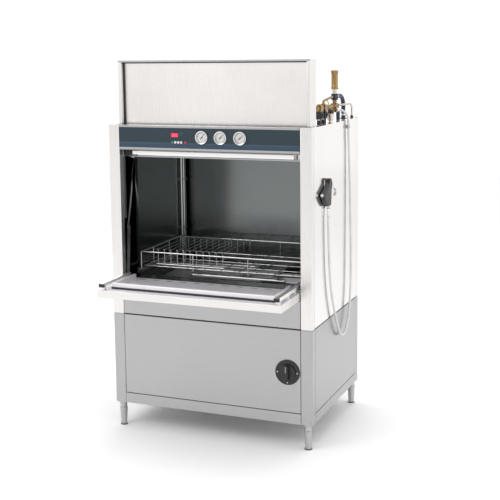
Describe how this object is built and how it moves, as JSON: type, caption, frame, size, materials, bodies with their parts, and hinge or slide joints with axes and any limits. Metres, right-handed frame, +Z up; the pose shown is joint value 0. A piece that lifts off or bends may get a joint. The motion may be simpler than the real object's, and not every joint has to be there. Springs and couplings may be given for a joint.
{
  "type": "commercial utensil washer",
  "caption": "Free-standing stainless pot and utensil washer with a split door: the upper part lifts, the lower part folds down as a loading shelf for a sliding rack; spray gun on the side.",
  "frame": {"origin": "centre of the object's footprint box on the floor, with the spray hose left out", "axes": "+X to the right seen from the front, +Y from the doors to the back, +Z up"},
  "size_m": [1.381, 1.34, 2.37],
  "materials": {
    "cabinet_steel": "fine satin brushed stainless",
    "panel_steel": "fine satin brushed stainless sheet",
    "handle_steel": "satin stainless",
    "chamber_steel": "bright rolled stainless",
    "bracket_steel": "mill finish",
    "feet_steel": "satin",
    "arm_steel": "satin",
    "wire_steel": "electropolished wire",
    "heater_steel": "dull sheath",
    "blue_fascia": "satin, lighter band along the foot",
    "red_display": "smoked window over a lit display",
    "gauge_chrome": "polished rim",
    "gauge_glass": "clear",
    "needle_black": "matt",
    "green_button": "moulded",
    "white_button": "moulded",
    "red_button": "moulded",
    "switch_black": "moulded",
    "rail_plastic": "dark rack rail",
    "pump_paint": "enamel",
    "brass": "cast and turned",
    "coil_black": "encapsulated coil",
    "pipe_chrome": "plated",
    "hose_dark": "reinforced hose",
    "gun_black": "moulded grip",
    "trigger_chrome": "plated",
    "hose_grey": "light grey hose"
  },
  "bodies": {
    "cabinet": {"base_frame": "cabinet_steel", "base_front_panel": "panel_steel", "base_cladding": "panel_steel", "feet": "feet_steel", "front_posts": "cabinet_steel", "side_panels": "panel_steel", "rear_panel": "panel_steel", "top_cover": "panel_steel", "front_apron": "panel_steel", "control_box": "cabinet_steel", "control_panel": "blue_fascia", "display_window": "red_display", "gauge_cases": "gauge_chrome", "gauge_lenses": "gauge_glass", "main_switch_plate": "switch_black", "wash_chamber": "chamber_steel", "wash_tank": "chamber_steel", "tank_filters": "chamber_steel", "tank_heater": "heater_steel", "door_guides": "bracket_steel", "balance_cables": "bracket_steel", "rack_runners": "bracket_steel", "wash_pipework": "arm_steel", "wash_pump": "pump_paint", "rinse_boiler": "arm_steel", "electrical_box": "panel_steel", "inlet_manifold": "brass", "solenoid_coils": "coil_black", "supply_tube": "pipe_chrome", "breaker_hose": "hose_dark", "hose_fixings": "bracket_steel", "spray_gun": "gun_black", "spray_hose": "hose_grey"},
    "upper_door": {"upper_door_panel": "panel_steel", "upper_door_stiles": "cabinet_steel", "upper_door_handle": "handle_steel"},
    "lower_door": {"lower_door_skin": "panel_steel", "lower_door_liner": "chamber_steel", "lower_door_rails": "rail_plastic", "lower_door_arms": "bracket_steel"},
    "links": {"link_rods": "bracket_steel"},
    "balance_drums": {"balance_shaft": "bracket_steel"},
    "rack": {"wash_rack": "wire_steel", "tray_insert": "wire_steel"},
    "lower_arm_left": {"lower_arm_left": "arm_steel"},
    "lower_arm_right": {"lower_arm_right": "arm_steel"},
    "upper_arm_left": {"upper_arm_left": "arm_steel"},
    "upper_arm_right": {"upper_arm_right": "arm_steel"},
    "scrap_basket": {"scrap_basket": "chamber_steel"},
    "impeller": {"pump_impeller": "brass"},
    "wash_needle": {"wash_gauge_needle": "needle_black"},
    "rinse_needle": {"rinse_gauge_needle": "needle_black"},
    "pressure_needle": {"pressure_gauge_needle": "needle_black"},
    "start_button": {"start_button": "green_button"},
    "short_button": {"short_cycle_button": "white_button"},
    "medium_button": {"medium_cycle_button": "white_button"},
    "long_button": {"long_cycle_button": "white_button"},
    "stop_button": {"stop_button": "red_button"},
    "main_switch": {"main_switch_knob": "switch_black"},
    "gun_trigger": {"gun_trigger": "trigger_chrome"}
  },
  "joints": [
    {"name": "upper_door_slide", "type": "slide", "parent": "cabinet", "child": "upper_door", "axis": [0, 0, 1], "range_m": [-0.4, 0], "deforming": ["balance_cables"]},
    {"name": "lower_door_fold", "type": "hinge", "parent": "cabinet", "child": "lower_door", "pos_m": [-0.0155, -0.268, 0.96], "axis": [-1, 0, 0], "range_deg": [0, 90.01]},
    {"name": "link_rod_swing", "type": "hinge", "parent": "upper_door", "child": "links", "pos_m": [-0.0155, -0.118, 1.76], "axis": [1, 0, 0], "range_deg": [0, 39.03]},
    {"name": "balance_shaft_turn", "type": "hinge", "parent": "cabinet", "child": "balance_drums", "pos_m": [-0.0155, -0.066, 1.895], "axis": [1, 0, 0], "range_deg": [0, 358.2]},
    {"name": "rack_slide", "type": "slide", "parent": "cabinet", "child": "rack", "axis": [0, -1, 0], "range_m": [0, 0.38]},
    {"name": "scrap_basket_lift", "type": "slide", "parent": "cabinet", "child": "scrap_basket", "axis": [0, 0, 1], "range_m": [0, 0.045]},
    {"name": "pump_impeller_spin", "type": "hinge", "parent": "cabinet", "child": "impeller", "pos_m": [-0.2655, 0.225, 0.336], "axis": [1, 0, 0], "continuous": true},
    {"name": "lower_arm_left_spin", "type": "hinge", "parent": "cabinet", "child": "lower_arm_left", "pos_m": [-0.3025, 0.145, 0.972], "axis": [0, 0, 1], "continuous": true},
    {"name": "upper_arm_left_spin", "type": "hinge", "parent": "cabinet", "child": "upper_arm_left", "pos_m": [-0.3025, 0.145, 1.762], "axis": [0, 0, 1], "continuous": true},
    {"name": "lower_arm_right_spin", "type": "hinge", "parent": "cabinet", "child": "lower_arm_right", "pos_m": [0.2715, 0.145, 0.972], "axis": [0, 0, 1], "continuous": true},
    {"name": "upper_arm_right_spin", "type": "hinge", "parent": "cabinet", "child": "upper_arm_right", "pos_m": [0.2715, 0.145, 1.762], "axis": [0, 0, 1], "continuous": true},
    {"name": "wash_needle_turn", "type": "hinge", "parent": "cabinet", "child": "wash_needle", "pos_m": [-0.0445, -0.3395, 1.902], "axis": [0, 1, 0], "range_deg": [-175, 95], "stiffness_Nm_per_rad": 0.004},
    {"name": "rinse_needle_turn", "type": "hinge", "parent": "cabinet", "child": "rinse_needle", "pos_m": [0.0795, -0.3395, 1.902], "axis": [0, 1, 0], "range_deg": [-180, 90], "stiffness_Nm_per_rad": 0.004},
    {"name": "pressure_needle_turn", "type": "hinge", "parent": "cabinet", "child": "pressure_needle", "pos_m": [0.2075, -0.3395, 1.902], "axis": [0, 1, 0], "range_deg": [-185, 85], "stiffness_Nm_per_rad": 0.004},
    {"name": "start_button_press", "type": "slide", "parent": "cabinet", "child": "start_button", "axis": [0, 1, 0], "range_m": [0, 0.0025], "stiffness_N_per_m": 400},
    {"name": "short_button_press", "type": "slide", "parent": "cabinet", "child": "short_button", "axis": [0, 1, 0], "range_m": [0, 0.0025], "stiffness_N_per_m": 400},
    {"name": "medium_button_press", "type": "slide", "parent": "cabinet", "child": "medium_button", "axis": [0, 1, 0], "range_m": [0, 0.0025], "stiffness_N_per_m": 400},
    {"name": "long_button_press", "type": "slide", "parent": "cabinet", "child": "long_button", "axis": [0, 1, 0], "range_m": [0, 0.0025], "stiffness_N_per_m": 400},
    {"name": "stop_button_press", "type": "slide", "parent": "cabinet", "child": "stop_button", "axis": [0, 1, 0], "range_m": [0, 0.0025], "stiffness_N_per_m": 400},
    {"name": "main_switch_turn", "type": "hinge", "parent": "cabinet", "child": "main_switch", "pos_m": [0.5005, -0.335, 0.483], "axis": [0, 1, 0], "range_deg": [0, 90]},
    {"name": "gun_trigger_squeeze", "type": "hinge", "parent": "cabinet", "child": "gun_trigger", "pos_m": [0.6765, -0.032, 1.608], "axis": [-1, 0, 0], "range_deg": [0, 22], "stiffness_Nm_per_rad": 1.2}
  ],
  "couplings": [
    {"joint": "lower_door_fold", "follows": "upper_door_slide", "rad_per_m": -3.927},
    {"joint": "link_rod_swing", "follows": "upper_door_slide", "rad_per_m": -1.7026},
    {"joint": "balance_shaft_turn", "follows": "upper_door_slide", "rad_per_m": -15.625}
  ]
}
